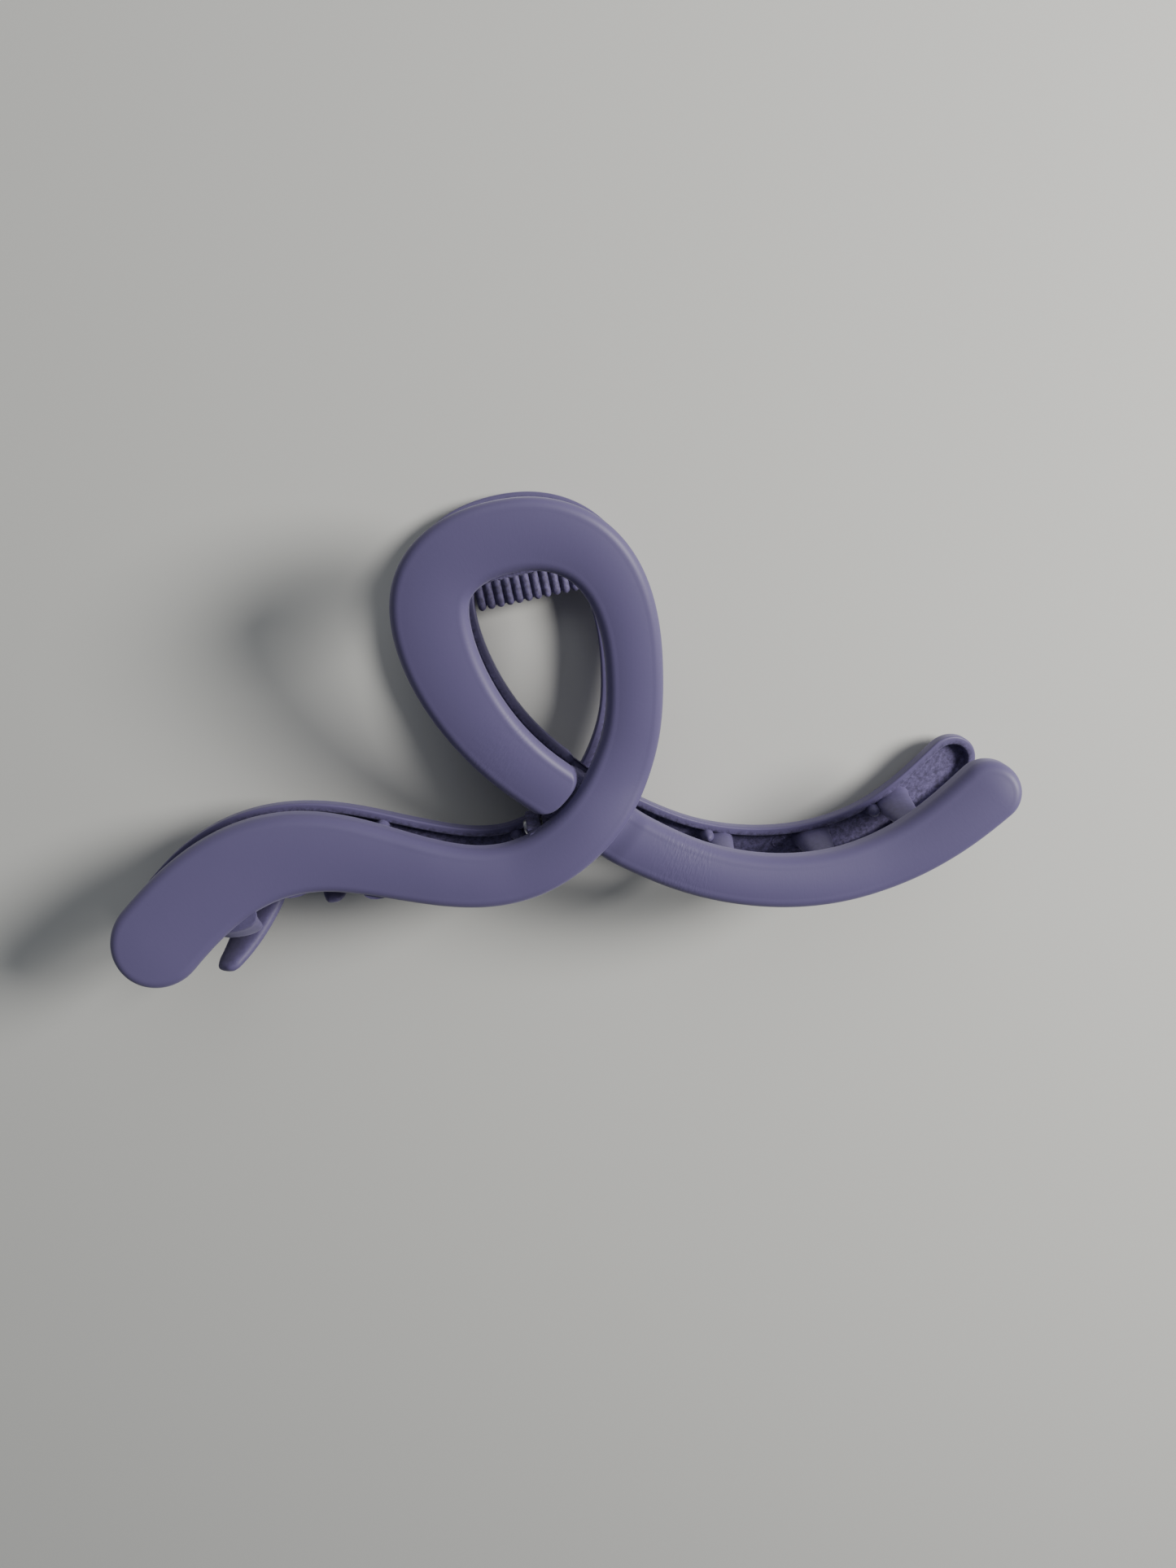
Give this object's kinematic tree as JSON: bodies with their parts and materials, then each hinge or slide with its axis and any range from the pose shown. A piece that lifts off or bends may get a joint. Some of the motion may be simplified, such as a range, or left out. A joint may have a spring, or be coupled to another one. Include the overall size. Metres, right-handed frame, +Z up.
{
  "type": "hair claw clip",
  "caption": "Large claw hair clip: two mirrored curved jaws, each with a finger loop and teeth, pivot on a steel pin and are sprung shut.",
  "frame": {"origin": "centre of the bounding box's base, under the resting clip", "axes": "+X along the hinge and the clip's length, +Y towards the finger loops, +Z up, from the lower jaw to the upper jaw"},
  "size_m": [0.1276, 0.0642, 0.0249],
  "materials": {
    "moulded_jaw": "soft-touch matte lavender",
    "steel": "drawn wire"
  },
  "bodies": {
    "lower": {"back_jaw": "moulded_jaw", "hinge_pin": "steel", "torsion_spring": "steel"},
    "upper": {"front_jaw": "moulded_jaw"}
  },
  "joints": [
    {"name": "jaw_hinge", "type": "hinge", "parent": "lower", "child": "upper", "pos_m": [0.00262, -0.0141, 0.01112], "axis": [-1, 0, 0], "range_deg": [0, 15], "stiffness_Nm_per_rad": 0.02, "springref_deg": -17.19, "deforming": ["torsion_spring"]}
  ]
}
